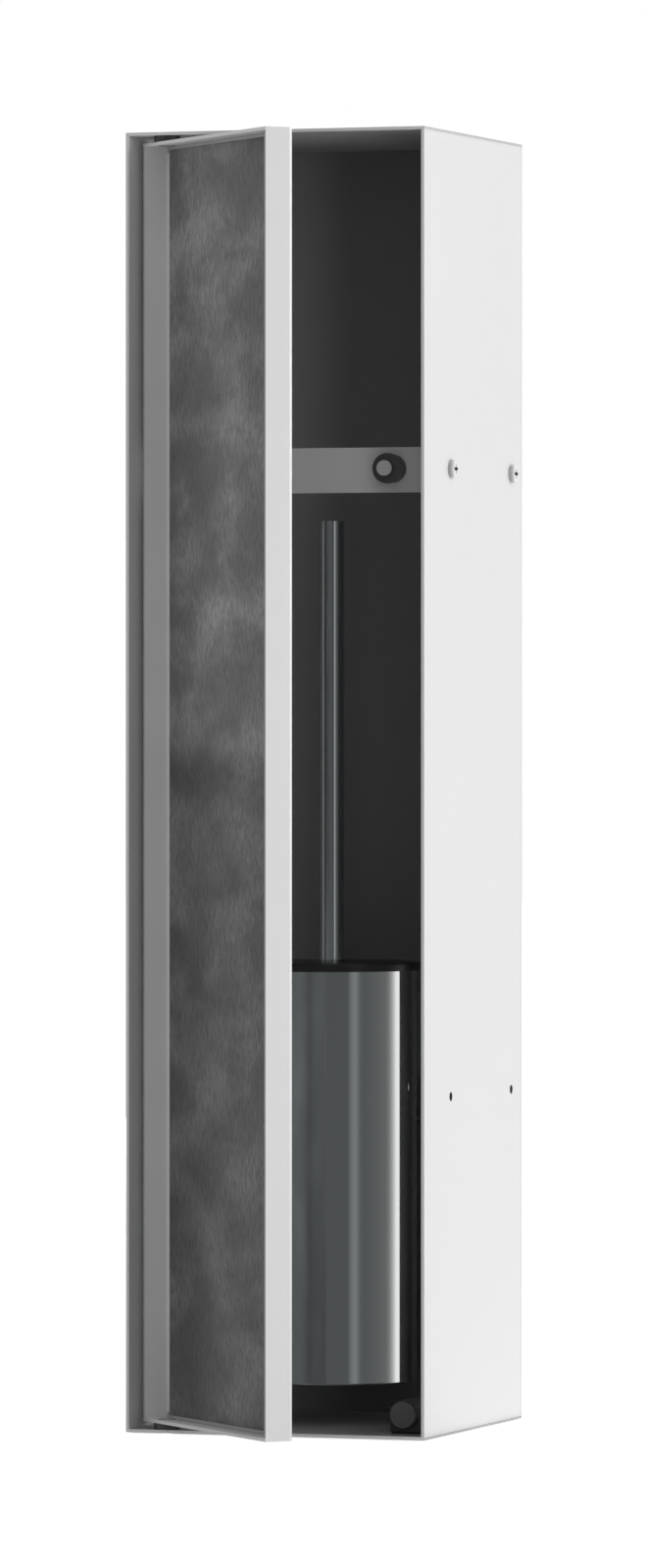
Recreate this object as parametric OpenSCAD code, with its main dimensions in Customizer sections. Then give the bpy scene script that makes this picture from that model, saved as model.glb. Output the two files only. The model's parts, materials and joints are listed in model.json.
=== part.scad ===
// Recessed toilet brush cabinet with a pivoting door that takes tiles.
// Origin: centre of the casing's underside. +Z is up and the open front faces -Y.
// The door stands open by door_open and turns about the vertical line through its two pivot pins.

/* [Casing] */
// Outer width of the casing
casing_w = 145; // [140:1:190]
// Outer height of the casing
casing_h = 598; // [590:1:800]
// Outer depth of the casing
casing_d = 142; // [138:1:190]
// Thickness of the casing's sheet
sheet_t = 1.5; // [1:0.1:2.5]

/* [Side holes] */
// Diameter of the four screw holes in each side
side_hole_d = 4.2; // [3:0.1:5]
// Distance from the front edge to the first hole of a pair
side_hole_y = 38; // [36:1:44]
// Distance between the holes of a pair
side_hole_pitch = 88; // [60:1:90]
// Height of the lower pair, and depth of the upper pair below the top
side_hole_z = 155; // [110:1:165]

/* [Door] */
// Gap between the door and the casing, all round
door_gap = 3; // [2:0.1:4]
// Depth of the frame, which is the depth of the tile recess
frame_depth = 12; // [9:0.5:14]
// Thickness of the frame's strip
frame_t = 1.5; // [1:0.1:2.5]
// Thickness of the plate behind the frame
plate_t = 1; // [0.8:0.1:2]
// Radius of the bead where the frame meets the plate
root_r = 1.2; // [0.6:0.1:2]
// Angle by which the door stands open
door_open = 45.7; // [0:0.1:110]

/* [Door pivots] */
// Distance from the door's hinged edge to the pivot axis
pivot_side = 13.5; // [11:0.5:16]
// Distance from the door's front to the pivot axis
pivot_in = 6; // [5.5:0.1:6.5]
// Diameter of the pivot pins
pin_d = 6; // [4:0.5:7]
// Wall of the bushes between pin and frame
bush_wall = 1; // [0.8:0.1:1.4]
// Diameter of the bushes' flanges
bush_flange_d = 12; // [10:0.5:13]
// End play of each bush against the casing
bush_play = 0.05; // [0.02:0.01:0.3]

/* [Latch strap] */
// Height of the strip
strap_h = 20.7; // [18:0.1:26]
// Distance from the screws' line down to the strip's middle
strap_low = 0.55; // [0:0.05:1]
// Thickness of the strip
strap_t = 2; // [1.5:0.1:3]
// Distance from the casing's front edge to the strip's face
strap_set = 26; // [24:0.5:30]
// Length of the arms behind the rear screws
strap_tail = 9; // [6:0.5:11]
// Inner radius of the strip's bends
strap_bend = 2; // [1:0.5:4]

/* [Strap fixings] */
// Diameter of the screws' heads
head_d = 8.5; // [7:0.1:11]
// Height of the screws' heads
head_h = 2.8; // [2.2:0.1:3.4]
// Radius of the heads' shoulder
head_edge_r = 1; // [0.8:0.1:1.6]
// Width of the nuts across their flats
nut_af = 7; // [6.5:0.1:9]
// Height of the nuts
nut_h = 3.2; // [2.4:0.1:4]

/* [Upper latch] */
// Distance from the casing's right face to the latch's axis
upper_inset = 24; // [20:0.5:40]
// Distance from the closed door's back to the tips of both latches
tip_gap = 0.2; // [0.1:0.1:1]
// Diameter of the front ring
ring_d = 13.9; // [13.5:0.1:16]
// Width of the front ring
ring_w = 3; // [2:0.1:4]
// Diameter of the head behind the ring
latch_head_d = 13; // [12.5:0.1:15]
// Diameter of the barrel behind the strap
barrel_d = 11; // [10:0.1:12]
// Length of the barrel behind the strap
barrel_l = 18; // [16:0.5:24]
// Width of the barrel's nut across its flats
barrel_nut_af = 15; // [13:0.5:16]
// Thickness of the barrel's nut
barrel_nut_h = 3.5; // [3:0.5:6]
// Diameter of the plunger and of its magnet
tip_d = 7.1; // [6:0.1:7.6]
// How far the tip stands out of the ring
tip_out = 4; // [3.4:0.1:5]
// Thickness of the magnets
magnet_t = 1; // [0.6:0.1:2]

/* [Lower latch] */
// Distance from the casing's right face to the latch's axis
lower_inset = 14.9; // [14:0.1:30]
// Diameter of the lower latch's barrel
lower_d = 13.4; // [12:0.1:13.6]
// Length of the lower latch's barrel
lower_l = 44; // [36:1:60]
// Wall of the barrel at its mouth
mouth_wall = 0.6; // [0.5:0.1:1.2]
// How far the disc stands out of the barrel
disc_out = 1.2; // [0.8:0.1:2]
// Width of the holder under the barrel
holder_w = 14.6; // [13.8:0.1:18]
// Height of the holder's cheeks
holder_h = 5.6; // [4:0.1:7]
// Thickness of the holder under the barrel
holder_web = 1.3; // [1:0.1:2.5]
// Thickness of the holder's adhesive pad
pad_t = 0.8; // [0.4:0.1:1.2]
// Inward travel of both plungers
travel = 2.5; // [1:0.1:3]

/* [Pot] */
// Outer diameter of the pot
pot_d = 79.5; // [70:0.5:86]
// Height of the pot
pot_h = 190.8; // [180:0.1:210]
// Wall of the pot
pot_wall = 1; // [0.7:0.1:1.6]
// Radius of the pot's lower edge
pot_edge_r = 0.6; // [0.4:0.1:2]
// Height of the pot's underside above the casing's floor
pot_rise = 19.2; // [17:0.1:30]
// Distance from the pot to the back panel
pot_gap = 21.75; // [20:0.25:28]
// Wall of the liner in the pot
liner_wall = 1.5; // [1:0.1:2]
// Gap between the liner and the pot
liner_gap = 0.5; // [0.3:0.1:1]
// Distance from the liner's rim to the pot's rim
liner_drop = 11; // [9:0.5:20]

/* [Pot bracket] */
// Width of the bracket
bracket_w = 50; // [40:1:60]
// Height of the bracket's back plate
bracket_h = 60; // [52:1:70]
// Thickness of the bracket's sheet
bracket_t = 2; // [1.5:0.1:3]
// Height of the bracket's hook
hook_h = 21; // [18:0.5:26]
// Height of the bracket above the pot's underside
bracket_rise = 119; // [90:1:122]
// Distance between the studs
stud_pitch = 28; // [18:1:36]
// Diameter of the studs
stud_d = 4; // [3:0.1:4.6]
// Width of the pot's hanger
hanger_w = 30; // [20:1:36]
// Length of the hanger on the pot
hanger_l = 40; // [30:1:60]
// Overlap of the hanger's lip with the bracket's hook
hook_grip = 14; // [10:0.5:15]
// Clearance on each side of the bracket's hook
hook_clear = 0.25; // [0.1:0.05:0.5]

/* [Handle and lid] */
// Overhang of the lid past the pot
lid_over = 1.75; // [1:0.25:3]
// Thickness of the lid's disc
lid_h = 3.9; // [3:0.1:6]
// Depth of the lid's ring inside the pot
lid_ring_h = 5; // [3:0.5:8]
// Wall of the lid's ring
lid_ring_wall = 2; // [1.5:0.1:3]
// Gap between the lid's ring and the pot
lid_ring_gap = 1; // [0.5:0.1:2]
// Diameter of the handle
handle_d = 12; // [10:0.5:14]
// Length of the handle above the lid
handle_l = 205; // [150:0.5:220]
// Wall of the handle's tube
tube_wall = 1; // [0.8:0.1:1.2]
// Thickness of the handle's cap
cap_t = 1.5; // [1:0.1:4]
// Outer diameter of the clamp ring under the lid
clamp_d = 20; // [18:0.5:26]
// Height of the clamp ring
clamp_h = 8; // [5:0.5:9]

/* [Brush head] */
// Diameter of the stem
stem_d = 8; // [6:0.1:8.4]
// Diameter over the bristles
head_dia = 66; // [56:1:68]
// Diameter of the bristles' backing
backing_d = 18; // [16:0.5:22]
// Wall of the backing
backing_wall = 2.4; // [2:0.1:3]
// Distance between the rows of bristles
row_pitch = 4; // [3:0.1:4.2]
// Rows on the straight part of the backing
straight_rows = 14; // [10:1:16]
// Bristles in one row
row_count = 20; // [16:1:24]
// Radius of a bristle at its root
bristle_r = 0.55; // [0.4:0.05:0.6]
// Distance from the lowest bristles to the liner's floor
head_gap = 3; // [2:0.5:8]

/* [Hidden] */
$fn = 64;
fit = 0.02; // radial clearance of fixed pieces
run = 0.05; // radial clearance of pieces that slide or turn
skin = 1; // length by which cutting tools pass a surface

front_y = -casing_d / 2;
wall_x = casing_w / 2 - sheet_t;
wall_y = casing_d / 2 - sheet_t;
floor_z = sheet_t;
ceiling_z = casing_h - sheet_t;
hole_y1 = front_y + side_hole_y;
hole_y2 = hole_y1 + side_hole_pitch;
strap_z = casing_h - side_hole_z;

door_w = casing_w - 2 * sheet_t - 2 * door_gap;
door_h = casing_h - 2 * sheet_t - 2 * door_gap;
pivot_x = -wall_x + door_gap + pivot_side;
pivot_y = front_y + pivot_in;
bush_d = pin_d + 2 * run + 2 * bush_wall;
door_back = front_y + frame_depth + plate_t;

strap_face = front_y + strap_set;
strap_end = hole_y2 + strap_tail;
screw_d = side_hole_d - 0.2;
nut_bore = screw_d + 2 * run;
screw_l = sheet_t + strap_t + nut_h + 1;

tip_y = door_back + tip_gap;
upper_x = casing_w / 2 - upper_inset;
ring_y = tip_y + tip_out;
collar_d = tip_d + 1.8;
neck_l = 7;
collar_l = 3;
plunger_l = neck_l + run + collar_l + tip_out - magnet_t;
upper_end = strap_face + strap_t + barrel_l;
plug_l = 4;

lower_x = casing_w / 2 - lower_inset;
lower_z = floor_z + pad_t + holder_web + lower_d / 2;
lower_y = tip_y + disc_out;
disc_d = lower_d - 2 * mouth_wall;
disc_l = disc_out + travel + 1.5 - magnet_t;
rod_d = 6;
rod_l = 8;
guide_l = 4;
mouth_l = disc_out + travel + 3;

pot_r = pot_d / 2;
pot_y = wall_y - pot_gap - pot_r;
pot_z = floor_z + pot_rise;
pot_top = pot_z + pot_h;
liner_r = pot_r - pot_wall - liner_gap;
liner_floor = pot_z + pot_wall + liner_wall;
bracket_z = pot_z + bracket_rise;
seat_z = bracket_z + hook_h;
pot_back = pot_y + pot_r;
lip_y = pot_back + bracket_t + hook_clear;
stud_z = bracket_z + bracket_h - 14;
stud_l = bracket_t + nut_h + 1.5;

lid_top = pot_top + lid_h;
lid_ring_r = pot_r - pot_wall - lid_ring_gap;
tube_bottom = pot_top - clamp_h;
tube_top = lid_top + handle_l - cap_t;
tube_bore = handle_d - 2 * tube_wall;
insert_l = 22;

dome_rows = 3;
dome_step = 24;
rows = straight_rows + dome_rows;
backing_r = backing_d / 2;
head_r = head_dia / 2;
dome_reach = 0.79 * head_r;
dome_z = liner_floor + head_gap + dome_reach * sin((dome_rows - 0.5) * dome_step);
backing_top = dome_z + straight_rows * row_pitch;
core_r = backing_r - backing_wall;
hub_h = 12;

// A block between two opposite corners
module block(low, high) {
    translate(low) cube(high - low);
}

// A cylinder along +Y that starts at a point
module rod_y(start, d, l) {
    translate(start) rotate([-90, 0, 0]) cylinder(d = d, h = l);
}

// A ring along +Y
module ring_y(start, d, bore, l) {
    difference() {
        rod_y(start, d, l);
        rod_y(start - [0, skin, 0], bore, l + 2 * skin);
    }
}

// A ring along +Z
module ring_z(start, d, bore, l) {
    translate(start) difference() {
        cylinder(d = d, h = l);
        translate([0, 0, -skin]) cylinder(d = bore, h = l + 2 * skin);
    }
}

// A hexagon nut along +Z with a round bore
module hex_nut(af, h, bore) {
    difference() {
        cylinder(d = af / cos(30), h = h, $fn = 6);
        translate([0, 0, -skin]) cylinder(d = bore, h = h + 2 * skin);
    }
}

// Points on a circle's arc
function arc(centre, r, from, to, steps) =
    [for (k = [0 : steps]) let (a = from + (to - from) * k / steps) centre + r * [cos(a), sin(a)]];

// Casing

// One side of the casing: side is -1 for the left and 1 for the right
module side_sheet(side) {
    color("whitesmoke") difference() {
        translate([side * (casing_w - sheet_t) / 2, 0, 0])
            block([-sheet_t / 2, front_y, floor_z], [sheet_t / 2, wall_y, ceiling_z]);
        for (y = [hole_y1, hole_y2], z = [side_hole_z, strap_z])
            translate([side * casing_w / 2, y, z]) rotate([0, 90, 0])
                cylinder(d = side_hole_d, h = 4 * sheet_t, center = true);
    }
}

module left_side() { side_sheet(-1); }

module right_side() { side_sheet(1); }

module back_panel() {
    color("dimgray") block([-casing_w / 2, wall_y, floor_z], [casing_w / 2, casing_d / 2, ceiling_z]);
}

// A top or bottom sheet with the hole of its pivot pin
module end_sheet(z) {
    color("whitesmoke") difference() {
        block([-casing_w / 2, front_y, z], [casing_w / 2, casing_d / 2, z + sheet_t]);
        translate([pivot_x, pivot_y, z - skin]) cylinder(d = pin_d + 2 * fit, h = sheet_t + 2 * skin);
    }
}

module top_panel() { end_sheet(ceiling_z); }

module bottom_panel() { end_sheet(0); }

// Door, drawn closed and then turned open about its pivots

module opened() {
    translate([pivot_x, pivot_y, 0]) rotate([0, 0, -door_open]) translate([-pivot_x, -pivot_y, 0]) children();
}

door_low = [-door_w / 2, front_y, floor_z + door_gap];
door_high = [door_w / 2, front_y + frame_depth, ceiling_z - door_gap];

// A hollow rounded root between a wall and the plate, along +Z from the origin
module root_bead(l) {
    difference() {
        cube([root_r, root_r, l]);
        translate([root_r, 0, -skin]) cylinder(r = root_r, h = l + 2 * skin);
    }
}

module door_frame() {
    inner_low = door_low + [frame_t, 0, frame_t];
    inner_high = door_high - [frame_t, 0, frame_t];
    bead_w = inner_high[0] - inner_low[0];
    bead_h = inner_high[2] - inner_low[2];
    color("whitesmoke") opened() {
        difference() {
            block(door_low, door_high);
            block(inner_low - [0, skin, 0], inner_high + [0, skin, 0]);
            translate([pivot_x, pivot_y, 0]) cylinder(d = bush_d + 2 * fit, h = casing_h);
        }
        for (side = [0, 1]) {
            translate([0, inner_high[1] - root_r, inner_low[2]]) mirror([side, 0, 0])
                translate([inner_low[0], 0, 0]) root_bead(bead_h);
            translate([inner_low[0], inner_high[1] - root_r, 0])
                translate([0, 0, side ? inner_high[2] : inner_low[2]]) mirror([0, 0, side])
                    rotate([90, 0, 90]) mirror([1, -1, 0]) root_bead(bead_w);
        }
    }
}

module door_back_plate() {
    color("silver") opened()
        block([door_low[0], door_high[1], door_low[2]], [door_high[0], door_high[1] + plate_t, door_high[2]]);
}

// A flanged bush, drawn upright on the casing's floor
module flanged_bush() {
    flange_h = door_gap - bush_play;
    difference() {
        union() {
            translate([0, 0, bush_play]) cylinder(d = bush_flange_d, h = flange_h);
            cylinder(d = bush_d, h = door_gap + frame_t);
        }
        translate([0, 0, -skin]) cylinder(d = pin_d + 2 * run, h = door_gap + frame_t + 2 * skin);
        translate([0, 0, -skin]) cylinder(d = bush_flange_d + skin, h = skin + bush_play);
    }
}

module lower_bush() {
    color("#202020") opened() translate([pivot_x, pivot_y, floor_z]) flanged_bush();
}

module upper_bush() {
    color("#202020") opened() translate([pivot_x, pivot_y, ceiling_z]) mirror([0, 0, 1]) flanged_bush();
}

// Each pin ends flush with the outside of the casing and with the inside of the frame
pin_l = sheet_t + door_gap + frame_t;

module lower_pivot_pin() {
    color("lightgray") translate([pivot_x, pivot_y, 0]) cylinder(d = pin_d, h = pin_l);
}

module upper_pivot_pin() {
    color("lightgray") translate([pivot_x, pivot_y, casing_h - pin_l]) cylinder(d = pin_d, h = pin_l);
}

// Latch strap and its fixings

module latch_strap() {
    low_z = strap_z - strap_low - strap_h / 2;
    bend_r = strap_bend + strap_t;
    color("gainsboro") difference() {
        union() {
            block([-wall_x + bend_r, strap_face, low_z],
                [wall_x - bend_r, strap_face + strap_t, low_z + strap_h]);
            for (side = [0, 1]) mirror([side, 0, 0]) {
                block([wall_x - strap_t, strap_face + bend_r, low_z], [wall_x, strap_end, low_z + strap_h]);
                translate([wall_x - bend_r, strap_face + bend_r, low_z]) intersection() {
                    ring_z([0, 0, 0], 2 * bend_r, 2 * strap_bend, strap_h);
                    block([0, -bend_r, 0], [bend_r, 0, strap_h]);
                }
            }
        }
        for (side = [-1, 1], y = [hole_y1, hole_y2])
            translate([side * wall_x, y, strap_z]) rotate([0, 90, 0])
                cylinder(d = side_hole_d, h = 4 * strap_t, center = true);
        rod_y([upper_x, strap_face - skin, strap_z], barrel_d + 2 * fit, strap_t + 2 * skin);
    }
}

// Places a child, drawn along +Z with z = 0 on the casing's outside, at each of the four strap screws
module at_strap_screws() {
    for (side = [-1, 1], y = [hole_y1, hole_y2])
        translate([side * casing_w / 2, y, strap_z]) rotate([0, side * 90, 0]) children();
}

// Pan head with a low crown, a rounded shoulder and an upright rim
module pan_head_screw(d, l) {
    slot_w = 0.9;
    slot_l = 0.52 * head_d;
    crown_h = 0.5;
    rim_h = head_h - crown_h - head_edge_r * sin(70);
    shoulder = arc([head_d / 2 - head_edge_r, rim_h], head_edge_r, 0, 70, 5);
    crown = [[head_d / 5, head_h - crown_h / 4], [0, head_h]];
    difference() {
        union() {
            rotate_extrude() polygon(concat([[0, 0], [head_d / 2, 0]], shoulder, crown));
            translate([0, 0, -l]) cylinder(d = d, h = l + head_h / 2);
        }
        for (a = [0, 90]) rotate([0, 0, a])
            translate([-slot_l / 2, -slot_w / 2, head_h / 2]) cube([slot_l, slot_w, head_h]);
    }
}

module strap_screws() {
    color("white") at_strap_screws() pan_head_screw(screw_d, screw_l);
}

module strap_nuts() {
    color("lightgray") at_strap_screws()
        translate([0, 0, -sheet_t - strap_t - nut_h]) hex_nut(nut_af, nut_h, nut_bore);
}

// Upper touch latch: its barrel passes through the strap and its plunger runs along Y

upper_axis = [upper_x, 0, strap_z];

module upper_latch_body() {
    head_l = strap_face - ring_y;
    color("#1c1c1c") translate(upper_axis) difference() {
        union() {
            rod_y([0, ring_y, 0], ring_d, ring_w);
            rod_y([0, ring_y, 0], latch_head_d, head_l);
            rod_y([0, ring_y, 0], barrel_d, upper_end - ring_y);
        }
        rod_y([0, ring_y - skin, 0], tip_d + 2 * run, head_l + 2 * skin);
        rod_y([0, ring_y + neck_l, 0], collar_d + 2 * run, upper_end - ring_y);
    }
}

module upper_latch_nut() {
    color("#303030") translate([upper_x, strap_face + strap_t, strap_z]) rotate([-90, 0, 0])
        hex_nut(barrel_nut_af, barrel_nut_h, barrel_d + 2 * fit);
}

module upper_latch_cap() {
    color("#303030") rod_y([upper_x, upper_end - plug_l, strap_z], collar_d, plug_l);
}

module upper_latch_plunger() {
    color("#161616") translate(upper_axis) {
        rod_y([0, tip_y + magnet_t, 0], tip_d, plunger_l);
        rod_y([0, ring_y + neck_l + run, 0], collar_d, collar_l);
    }
}

module upper_latch_magnet() {
    color("darkgray") rod_y([upper_x, tip_y, strap_z], tip_d, magnet_t);
}

// A compression spring along +Z with its two ends flat on the planes z = 0 and z = l
module coil_spring(d, wire, turns, l) {
    per_turn = 8;
    sides = 6;
    n = turns * per_turn;
    r = (d - wire) / 2;
    points = [for (k = [0 : n], s = [0 : sides - 1])
        let (a = 360 * k / per_turn, b = 360 * s / sides, q = r + wire / 2 * cos(b))
            [q * cos(a), q * sin(a), wire / 2 + (l - wire) * k / n + wire / 2 * sin(b)]];
    walls = [for (k = [0 : n - 1], s = [0 : sides - 1])
        let (p = k * sides + s, q = k * sides + (s + 1) % sides)
            each [[p, q, q + sides], [p, q + sides, p + sides]]];
    ends = [for (s = [1 : sides - 2]) each [[0, s + 1, s], [n * sides, n * sides + s, n * sides + s + 1]]];
    polyhedron(points, concat(walls, ends));
}

module upper_latch_spring() {
    start = tip_y + magnet_t + plunger_l;
    color("silver") translate([upper_x, start, strap_z]) rotate([-90, 0, 0])
        coil_spring(collar_d - 2, 0.7, 6, upper_end - plug_l - start);
}

// Lower touch latch: a barrel in a cradle that is stuck to the floor

module lower_latch_holder() {
    base_z = floor_z + pad_t;
    foot = holder_w / 2;
    top = foot - 0.6;
    color("#262626") difference() {
        translate([lower_x, lower_y + 2, base_z]) rotate([90, 0, 180]) linear_extrude(lower_l - 6)
            polygon([[-foot, 0], [foot, 0], [top, holder_h], [-top, holder_h]]);
        rod_y([lower_x, lower_y, lower_z], lower_d + 2 * fit, lower_l);
    }
}

module latch_holder_pad() {
    color("#101010") block([lower_x - holder_w / 2 + 0.5, lower_y + 3, floor_z],
        [lower_x + holder_w / 2 - 0.5, lower_y + lower_l - 5, floor_z + pad_t]);
}

module lower_latch_body() {
    color("#1c1c1c") translate([lower_x, lower_y, lower_z]) difference() {
        rod_y([0, 0, 0], lower_d, lower_l);
        rod_y([0, -skin, 0], disc_d + 2 * run, mouth_l + skin);
        rod_y([0, mouth_l - skin, 0], rod_d + 2 * run, guide_l + 2 * skin);
        rod_y([0, mouth_l + guide_l, 0], disc_d, lower_l);
    }
}

module lower_latch_cap() {
    color("#303030") rod_y([lower_x, lower_y + lower_l - plug_l, lower_z], disc_d - 2 * fit, plug_l);
}

module lower_latch_plunger() {
    stop_l = 2;
    back_y = mouth_l + guide_l + run;
    color("#2c2c2c") translate([lower_x, lower_y, lower_z]) {
        rod_y([0, magnet_t - disc_out, 0], disc_d, disc_l);
        rod_y([0, magnet_t - disc_out, 0], rod_d, back_y + disc_out + rod_l - magnet_t);
        rod_y([0, back_y, 0], disc_d - 1, stop_l);
    }
}

module lower_latch_magnet() {
    color("gray") rod_y([lower_x, tip_y, lower_z], disc_d, magnet_t);
}

module lower_latch_spring() {
    start = lower_y + mouth_l + guide_l + run + 2;
    color("silver") translate([lower_x, start, lower_z]) rotate([-90, 0, 0])
        coil_spring(disc_d - 1.6, 0.9, 7, lower_y + lower_l - plug_l - start);
}

// Pot

module pot_shell() {
    inner_r = pot_r - pot_wall;
    inner_edge = max(pot_edge_r - pot_wall, 0.3);
    outer = arc([pot_r - pot_edge_r, pot_edge_r], pot_edge_r, -90, 0, 8);
    inner = arc([inner_r - inner_edge, pot_wall + inner_edge], inner_edge, 0, -90, 6);
    color("silver") translate([0, pot_y, pot_z]) rotate_extrude()
        polygon(concat([[0, 0]], outer, [[pot_r, pot_h], [inner_r, pot_h]], inner, [[0, pot_wall]]));
}

module pot_liner() {
    inner_r = liner_r - liner_wall;
    top = pot_h - liner_drop;
    edge = pot_edge_r + 1;
    outer = arc([liner_r - edge, pot_wall + edge], edge, -90, 0, 8);
    color("#181818") translate([0, pot_y, pot_z]) rotate_extrude()
        polygon(concat([[0, pot_wall]], outer, [
            [liner_r, top], [inner_r, top],
            [inner_r, pot_wall + edge], [inner_r - edge + liner_wall, pot_wall + liner_wall],
            [0, pot_wall + liner_wall]
        ]));
}

// Hook welded to the back of the pot: it drops over the bracket's hook
module pot_hanger() {
    back = pot_back + bracket_t;
    lip = lip_y + bracket_t + hook_clear;
    half = hanger_w / 2;
    saddle = pot_r - sqrt(pot_r * pot_r - half * half);
    color("silver") {
        difference() {
            block([-half, pot_back - saddle, seat_z + bracket_t - hanger_l],
                [half, back, seat_z + bracket_t]);
            translate([0, pot_y, pot_z]) cylinder(r = pot_r + run, h = pot_h);
        }
        block([-half, back - run, seat_z], [half, lip + bracket_t, seat_z + bracket_t]);
        block([-half, lip, seat_z - hook_grip], [half, lip + bracket_t, seat_z + bracket_t]);
    }
}

// J-shaped bracket on two studs of the back panel
module pot_bracket() {
    half = bracket_w / 2;
    plate_y = wall_y - bracket_t;
    color("silver") difference() {
        union() {
            block([-half, plate_y, bracket_z], [half, wall_y, bracket_z + bracket_h]);
            block([-half, lip_y, bracket_z], [half, wall_y, bracket_z + bracket_t]);
            block([-half, lip_y, bracket_z], [half, lip_y + bracket_t, seat_z]);
        }
        for (x = [-1, 1])
            rod_y([x * stud_pitch / 2, plate_y - skin, stud_z], stud_d + 0.3, bracket_t + 2 * skin);
    }
}

module bracket_studs() {
    color("lightgray") for (x = [-1, 1]) rod_y([x * stud_pitch / 2, wall_y - stud_l, stud_z], stud_d, stud_l);
}

module bracket_nuts() {
    color("lightgray") for (x = [-1, 1])
        translate([x * stud_pitch / 2, wall_y - bracket_t, stud_z]) rotate([90, 0, 0])
            hex_nut(nut_af, nut_h, stud_d + 2 * run);
}

// Brush

module brush_lid() {
    r = pot_r + lid_over;
    edge = 0.8;
    ring_bore = lid_ring_r - lid_ring_wall;
    under = [
        [0, 0], [ring_bore, 0], [ring_bore, -lid_ring_h], [lid_ring_r, -lid_ring_h], [lid_ring_r, 0], [r, 0]
    ];
    color("#141414") translate([0, pot_y, pot_top]) difference() {
        rotate_extrude() polygon(concat(under, arc([r - edge, lid_h - edge], edge, 0, 90, 6), [[0, lid_h]]));
        translate([0, 0, -skin]) cylinder(d = handle_d + 2 * fit, h = lid_h + 2 * skin);
    }
}

module handle_tube() {
    color("silver") ring_z([0, pot_y, tube_bottom], handle_d, tube_bore, tube_top - tube_bottom);
}

module handle_cap() {
    spigot = 8;
    color("silver") translate([0, pot_y, tube_top]) {
        cylinder(d = handle_d, h = cap_t);
        translate([0, 0, -spigot]) cylinder(d = tube_bore - 2 * fit, h = spigot + cap_t / 2);
    }
}

module stem_insert() {
    color("lightgray") ring_z([0, pot_y, tube_bottom], tube_bore - 2 * fit, stem_d + 2 * fit, insert_l);
}

module lid_clamp() {
    color("#202020") ring_z([0, pot_y, pot_top - clamp_h], clamp_d, handle_d + 2 * fit, clamp_h);
}

module brush_stem() {
    bottom = backing_top + 2;
    top = tube_bottom + insert_l - 2;
    color("lightgray") translate([0, pot_y, bottom]) cylinder(d = stem_d, h = top - bottom);
}

// Moulded core: a rod inside the bristles' backing and a hub that takes the stem
module brush_core() {
    deep = dome_z + 1;
    hub_top = hub_h * 0.6;
    color("#303030") translate([0, pot_y, 0]) difference() {
        union() {
            translate([0, 0, deep]) cylinder(r = core_r - run, h = backing_top - deep + 1);
            translate([0, 0, backing_top]) cylinder(r = backing_r, h = hub_top);
            translate([0, 0, backing_top + hub_top])
                cylinder(r1 = backing_r, r2 = stem_d / 2 + 2, h = hub_h - hub_top);
        }
        translate([0, 0, backing_top + 2]) cylinder(d = stem_d + 2 * fit, h = hub_h);
    }
}

// Bristles: one closed surface, a ring-shaped backing with a three-sided bristle in each of its cells.
// Ring i of the backing has radius ring_r(i) and height ring_z_at(i); each ring is turned by half a cell.
function dome_angle(i) = max(0, i - straight_rows) * dome_step;
function ring_r(i) = backing_r * cos(dome_angle(i));
function ring_z_at(i) =
    i <= straight_rows ? backing_top - i * row_pitch : dome_z - backing_r * sin(dome_angle(i));
function ring_point(i, j) =
    let (a = (j + i / 2) * 360 / row_count) [ring_r(i) * cos(a), ring_r(i) * sin(a), ring_z_at(i)];
// Reach of a row's tips from the axis, or from the dome's centre: shorter at both ends
function reach(i) =
    head_r * (i == 0 ? 0.82 : i == 1 ? 0.93 : i <= straight_rows ? 1 : i == straight_rows + 1 ? 0.91 : 0.79);
function cell_middle(i, j) =
    (ring_point(i, j) + ring_point(i, j + 1) + ring_point(i + 1, j) + ring_point(i + 1, j + 1)) / 4;
function cell_points(i, j) =
    let (
        a = (j + 0.5 + (i + 0.5) / 2) * 360 / row_count,
        t = i < straight_rows ? 0 : (i + 0.5 - straight_rows) * dome_step,
        out = [cos(t) * cos(a), cos(t) * sin(a), -sin(t)],
        across = [-sin(a), cos(a), 0],
        up = [sin(t) * cos(a), sin(t) * sin(a), cos(t)],
        root = cell_middle(i, j),
        tip = root + out * (reach(i) - backing_r))
    [for (end = [0, 1], k = [0 : 2]) let (b = 90 + 120 * k)
        (end ? tip : root) + bristle_r * (end ? 0.6 : 1) * (cos(b) * across + sin(b) * up)];

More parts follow.
